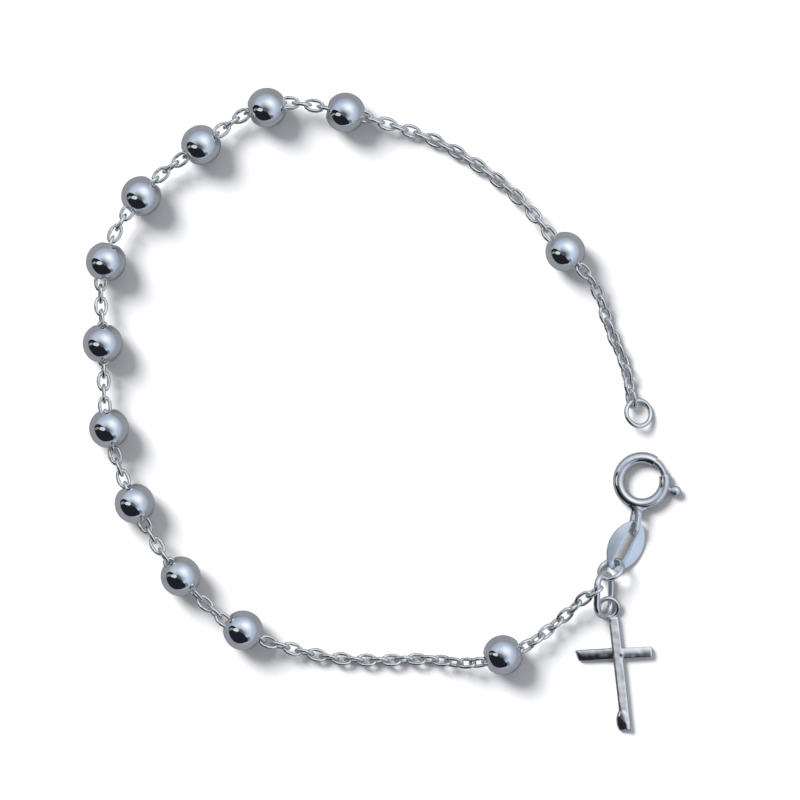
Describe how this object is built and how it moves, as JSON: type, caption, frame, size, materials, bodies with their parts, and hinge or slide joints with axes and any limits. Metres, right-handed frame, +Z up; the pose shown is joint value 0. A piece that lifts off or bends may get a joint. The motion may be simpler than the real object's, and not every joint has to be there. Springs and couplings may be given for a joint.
{
  "type": "rosary bracelet",
  "caption": "Silver rosary bracelet lying open: cable chain through round beads, spring ring clasp, plain end ring, and a small plain cross on an oval ring.",
  "frame": {"origin": "middle of the bracelet's bounding box, on the table it lies on", "axes": "+Z up from the table; +X towards the clasp side; +Y towards the end with the plain ring, from the cross's foot"},
  "size_m": [0.0598, 0.0643, 0.004],
  "materials": {
    "silver_chain": "polished sterling silver wire",
    "silver_bead": "mirror-polished sterling silver, hollow",
    "silver_fittings": "polished sterling silver, soft edges"
  },
  "bodies": {
    "bracelet": {"chain_lower": "silver_chain", "chain_upper": "silver_chain", "bead_1": "silver_bead", "bead_2": "silver_bead", "bead_3": "silver_bead", "bead_4": "silver_bead", "bead_5": "silver_bead", "bead_6": "silver_bead", "bead_7": "silver_bead", "bead_8": "silver_bead", "bead_9": "silver_bead", "bead_10": "silver_bead", "lone_bead_1": "silver_bead", "lone_bead_2": "silver_bead", "end_ring": "silver_fittings", "clasp_tube": "silver_fittings", "plate_link": "silver_fittings", "jump_ring": "silver_fittings", "oval_ring": "silver_fittings", "cross": "silver_fittings"},
    "gate": {"clasp_gate": "silver_fittings"}
  },
  "joints": [
    {"name": "gate_slide", "type": "hinge", "parent": "bracelet", "child": "gate", "pos_m": [0.02585, -0.00725, 0.0006], "axis": [0, 0, -1], "range_deg": [0, 46], "stiffness_Nm_per_rad": 0.001}
  ]
}
